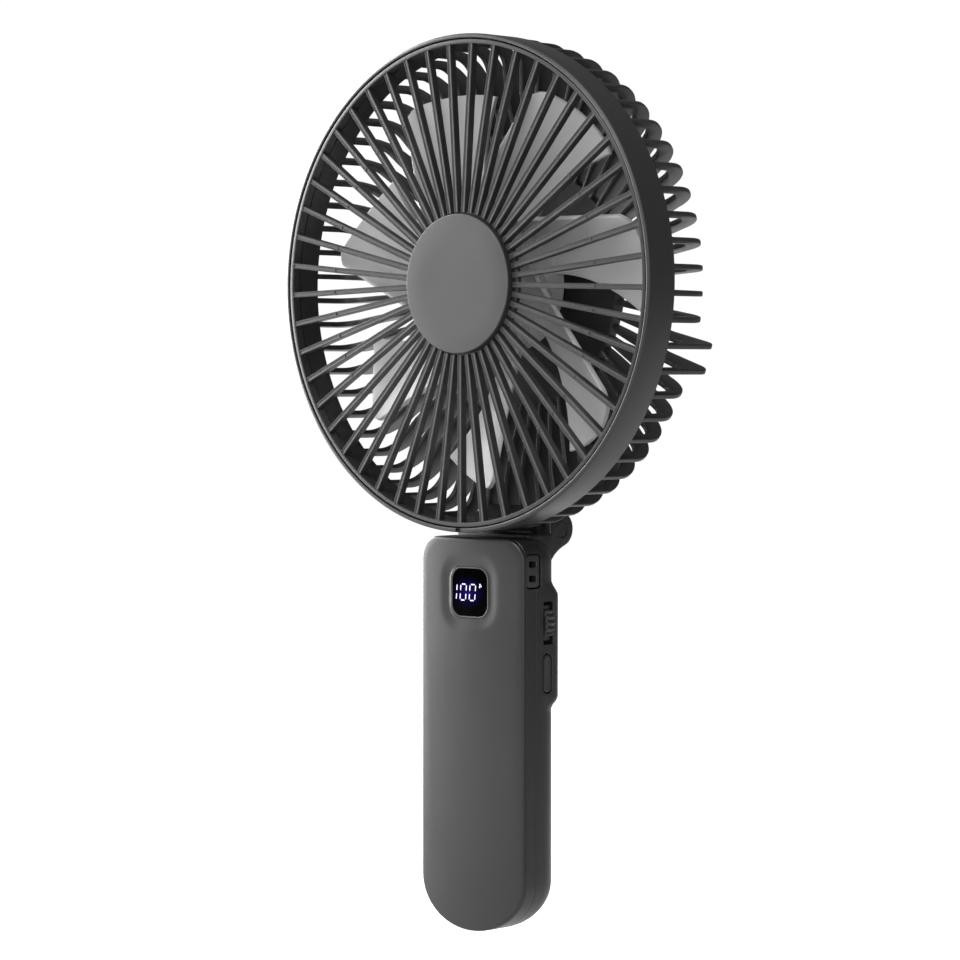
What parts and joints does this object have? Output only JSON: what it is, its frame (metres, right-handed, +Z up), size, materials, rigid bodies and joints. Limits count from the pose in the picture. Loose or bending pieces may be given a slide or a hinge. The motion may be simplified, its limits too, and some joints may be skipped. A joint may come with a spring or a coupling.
{
  "type": "handheld folding fan",
  "caption": "Handheld folding fan: a round caged fan head hinged behind the top of a flat rechargeable grip with a small display, side thumb wheel and power button.",
  "frame": {"origin": "middle of the grip's flat back, below the control pod", "axes": "+Z up along the grip towards the fan head, -Y the side the air blows to and the display faces, +X the side with the thumb wheel and button"},
  "size_m": [0.13, 0.0317, 0.2352],
  "materials": {
    "charcoal": "soft matte",
    "cage_grey": "fine moulded matte",
    "cap_grey": "satin painted",
    "blade_grey": "satin moulded",
    "black_glass": "polished dark window",
    "black_plastic": "satin moulded",
    "steel": "turned",
    "copper": "enamelled copper wire",
    "brass": "turned",
    "magnet": "sintered",
    "board_green": "solder mask",
    "cell_foil": "laminated foil",
    "foam": "closed cell foam",
    "wire_red": "silicone sleeve",
    "wire_black": "silicone sleeve",
    "nylon": "moulded nylon"
  },
  "bodies": {
    "grip": {"front_shell": "charcoal", "rear_shell": "charcoal", "display_bezel": "black_plastic", "display_window": "black_glass", "display_module": "black_plastic", "circuit_board": "board_green", "battery_cell": "cell_foil", "battery_foam": "foam", "battery_lead_positive": "wire_red", "battery_lead_negative": "wire_black", "strap_frame": "black_plastic", "usb_c_socket": "steel", "wheel_encoder": "black_plastic", "power_switch": "black_plastic", "board_screw_left": "steel", "board_screw_right": "steel", "case_screw_left": "steel", "case_screw_right": "steel", "pin_cap_left": "charcoal", "pin_cap_right": "charcoal", "hinge_pin": "steel"},
    "head": {"rear_grille": "cage_grey", "front_grille": "cage_grey", "hub_cap": "cap_grey", "bearing_tube": "brass", "front_bearing": "steel", "rear_bearing": "steel", "stator_core": "steel", "motor_board": "board_green", "friction_washer_left": "steel", "friction_washer_right": "steel", "stator_coil_1": "copper", "stator_coil_2": "copper", "stator_coil_3": "copper", "stator_coil_4": "copper", "stator_coil_5": "copper", "stator_coil_6": "copper", "motor_screw_1": "steel", "motor_post_1": "nylon", "motor_screw_2": "steel", "motor_post_2": "nylon", "motor_screw_3": "steel", "motor_post_3": "nylon"},
    "fan_rotor": {"impeller": "blade_grey", "rotor_can": "steel", "magnet_ring": "magnet", "motor_shaft": "steel", "shaft_clip": "steel"},
    "speed_wheel": {"speed_wheel": "charcoal", "wheel_axle": "steel"},
    "power_button": {"power_button": "charcoal"}
  },
  "joints": [
    {"name": "head_fold", "type": "hinge", "parent": "grip", "child": "head", "pos_m": [0, 0.0053, 0.0694], "axis": [-1, 0, 0], "range_deg": [0, 180]},
    {"name": "fan_spin", "type": "hinge", "parent": "head", "child": "fan_rotor", "pos_m": [0, 0, 0.134], "axis": [0, -1, 0], "continuous": true},
    {"name": "speed_wheel_turn", "type": "hinge", "parent": "grip", "child": "speed_wheel", "pos_m": [0.013, -0.0061, 0.04545], "axis": [0, 1, 0], "continuous": true},
    {"name": "power_press", "type": "slide", "parent": "grip", "child": "power_button", "axis": [-1, 0, 0], "range_m": [0, 0.0004], "stiffness_N_per_m": 300}
  ]
}
